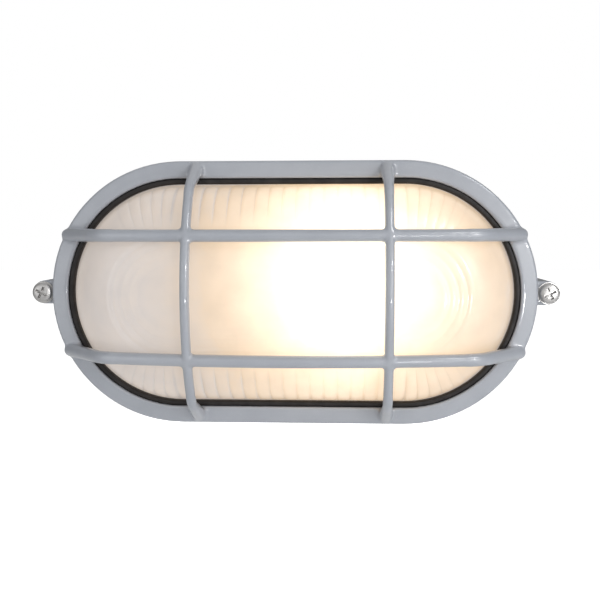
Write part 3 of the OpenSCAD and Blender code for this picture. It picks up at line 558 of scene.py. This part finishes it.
def glass_sections(rib, valley, at_end):
    """Loops of (distance, height, crease) at every station.

    The outside's loops go from the flange to the middle, and the inside's back to the flange.
    """
    ones = np.ones_like(rib)
    rings = SIDE_RINGS + (1 - SIDE_RINGS) * at_end

    def loop(distance, height, crease=0.0):
        return np.stack([distance * ones, height * ones, crease * ones], 1)

    outside = [loop(flange_r, flange_z)]
    for turn in np.linspace(0, math.pi / 2, FLANGE_LOOPS):
        outside.append(loop(flange_r - FLANGE_ROUND * (1 - math.cos(turn)),
                            flange_top - FLANGE_ROUND * (1 - math.sin(turn))))
    for k, share in enumerate(np.linspace(0, 1, FLANK_LOOPS)):
        flank = bow((glass_r, flange_top), (FRONT_R, shoulder_z), FLANK_BOW + RIB_H * rib, share)
        if k > FOOT_LOOP:
            crease = valley * min(1.0, (1 - share) / SHOULDER_FADE)
        else:
            crease = FOOT_SHADE_LINE * float(k == FOOT_LOOP) * ones
        outside.append(np.column_stack([flank, crease]))
    ringed = np.linspace(FRONT_R, rings_in, RING_LOOPS)[1:]
    plain = np.linspace(rings_in, 0, MIDDLE_LOOPS)[1:]
    for distance in np.concatenate([ringed, plain]):
        crown = dome_top - FRONT_CROWN * (distance / FRONT_R) ** 2
        part = (FRONT_R - distance) / RING_PITCH % 1 if distance > rings_in else 0
        outward = max(distance - rings_in, 0) / (FRONT_R - rings_in)
        strength = rings * (LEAST_RING + (1 - LEAST_RING) * outward)
        swell = 4 * part * (1 - part)  # parabola over the ring, 1 at its middle
        at_line = float(part == 0 and distance >= rings_in)
        outside.append(loop(distance, crown + SCALLOP * strength * swell,
                            RING_SHADE_LINE * strength * at_line))

    inner_top = shoulder_z - GLASS_T
    inner_r = glass_r - GLASS_T
    inside = [loop(distance, inner_top) for distance in np.linspace(0, FRONT_R, MIDDLE_LOOPS)]
    for share in np.linspace(1, 0, INNER_FLANK_LOOPS)[1:]:
        flank = bow((inner_r, flange_top), (FRONT_R, inner_top), FLANK_BOW * ones, share)
        inside.append(np.column_stack([flank, 0 * ones]))
    inside.append(loop(inner_r, flange_z))
    return outside, inside


def glass_mesh():
    """Closed mesh of the glass, with its crease lines of painted shade as an attribute."""
    middle, cos_out, sin_out, rib, valley, at_end = stadium_samples()
    outside, inside = glass_sections(rib, valley, at_end)
    loops = outside + inside
    verts = np.concatenate([
        np.stack([middle + loop[:, 0] * cos_out, -loop[:, 1], loop[:, 0] * sin_out], 1)
        for loop in loops])
    count = len(middle)
    faces = []
    for k in range(len(loops)):
        if k == len(outside) - 1:
            continue  # the glass lies between the outside's middle and the inside's
        start, following = k * count, (k + 1) % len(loops) * count
        for i in range(count):
            j = (i + 1) % count
            faces.append((start + i, start + j, following + j, following + i))
    mesh = mesh_of("lens_ribbed", verts.tolist(), faces)
    crease = mesh.attributes.new(CREASE, "FLOAT", "POINT")
    crease.data.foreach_set("value", np.concatenate([loop[:, 2] for loop in loops]))
    bm = bmesh.new()
    bm.from_mesh(mesh)
    bmesh.ops.remove_doubles(bm, verts=bm.verts, dist=WELD)
    bmesh.ops.recalc_face_normals(bm, faces=bm.faces)
    bm.to_mesh(mesh)
    bm.free()
    mesh.shade_smooth()
    mesh.set_sharp_from_angle(angle=SHARP_ANGLE)
    return mesh


new_piece("lens_ribbed", glass_mesh(), "cover", "glass_lens", glass)


# Stage: pale floor, white surroundings whose light comes from the front, and lamps on all sides

FLOOR_Z = -0.3
FLOOR_HALF = 6.0
FLOOR_LIFT = 0.8
FRONT_LIGHT = 0.9
BACK_LIGHT = 0.2
LIGHT_FADE = (-0.9, 0.1)
LAMP_AIM = Vector((0, -0.05, 0))
KEY_PLACE = (0.62, -0.68, 0.2)


def pale_floor():
    """White floor, lifted for the camera as on a light table, so that it meets the white behind."""
    material, n, shader = new_material("pale_floor")
    seen = n.add("ShaderNodeLightPath").outputs["Is Camera Ray"]
    n.feed(shader, {
        "Base Color": n.blend(n.noise(0.2, 3), rgb(0.9, 0.9, 0.9), rgb(0.93, 0.93, 0.93)),
        "Roughness": 0.8,
        "Emission Color": rgb(1, 1, 1),
        "Emission Strength": n.math("MULTIPLY", seen, FLOOR_LIFT),
    })
    corners = [(x * FLOOR_HALF, y * FLOOR_HALF, FLOOR_Z)
               for x, y in ((-1, -1), (1, -1), (1, 1), (-1, 1))]
    mesh = mesh_of("floor", corners, [(0, 1, 2, 3)])
    mesh.materials.append(material)
    floor = bpy.data.objects.new("floor", mesh)
    scene.collection.objects.link(floor)


def white_world():
    """White behind the object; its light comes from the front and fades to the sides and the back."""
    world = bpy.data.worlds.new("white_world")
    world.use_nodes = True
    scene.world = world
    n = Nodes(world.node_tree)
    direction = n.add("ShaderNodeTexCoord").outputs["Generated"]
    to_back = n.add("ShaderNodeSeparateXYZ", {"Vector": direction}).outputs["Y"]
    soft = n.span(to_back, *LIGHT_FADE, FRONT_LIGHT, BACK_LIGHT)
    seen = n.add("ShaderNodeLightPath").outputs["Is Camera Ray"]
    n.feed(world.node_tree.nodes["Background"], {
        "Color": rgb(1, 1, 1),
        "Strength": n.math("MAXIMUM", soft, seen),
    })


def soft_lamp(name, place, size, power, shade=True, shine=True):
    """Area lamp that faces the part. It may be kept from matt light (shade) or from gloss (shine)."""
    light = bpy.data.lights.new(name, "AREA")
    light.shape = "RECTANGLE"
    light.size, light.size_y = size
    light.energy = power
    lamp = bpy.data.objects.new(name, light)
    lamp.location = place
    lamp.rotation_euler = (LAMP_AIM - Vector(place)).to_track_quat("-Z", "Y").to_euler()
    lamp.visible_camera = False
    lamp.visible_diffuse = shade
    lamp.visible_glossy = shine
    scene.collection.objects.link(lamp)


pale_floor()
white_world()

# The small key makes the streaks on the bars, and the large fill at its place the soft shade
soft_lamp("key", KEY_PLACE, size=(0.1, 0.12), power=2.0, shade=False)
soft_lamp("fill", KEY_PLACE, size=(0.7, 0.7), power=2.0, shine=False)
soft_lamp("rim", (0.45, -0.42, 0.5), size=(0.3, 0.12), power=1.2, shade=False)
soft_lamp("right", (0.42, -0.42, 0.0), size=(0.3, 0.4), power=0.5)
soft_lamp("front", (0.33, -0.83, -0.08), size=(0.12, 0.04), power=0.9)
soft_lamp("left", (-0.38, -0.38, 0.0), size=(0.25, 0.3), power=0.2)
soft_lamp("back", (-0.1, 1.1, 0.1), size=(0.3, 0.3), power=4.0)
soft_lamp("top", (0.0, 0.35, 1.0), size=(1.4, 1.2), power=2.6)


# Camera: place and turn (in degrees) found from the ring's outline and the bars' curves in the photo

IMAGE_WIDTH = 600
FOCAL_PIXELS = 887.9
SENSOR_WIDTH = 36.0
CAMERA_PLACE = (22.6 * MM, -415.26 * MM, 27.16 * MM)
CAMERA_YAW = 3.102
CAMERA_PITCH = -4.782
CAMERA_ROLL = -0.091


def photo_camera():
    data = bpy.data.cameras.new("photo_camera")
    data.sensor_width = SENSOR_WIDTH
    data.lens = FOCAL_PIXELS / IMAGE_WIDTH * SENSOR_WIDTH
    camera = bpy.data.objects.new("photo_camera", data)
    turns = ((90, "X"), (CAMERA_YAW, "Y"), (CAMERA_PITCH, "X"), (CAMERA_ROLL, "Z"))
    pose = Matrix.Translation(CAMERA_PLACE)
    for degrees, axis in turns:
        pose = pose @ Matrix.Rotation(math.radians(degrees), 4, axis)
    camera.matrix_world = pose
    scene.collection.objects.link(camera)
    scene.camera = camera


photo_camera()
scene.view_settings.view_transform = "Standard"
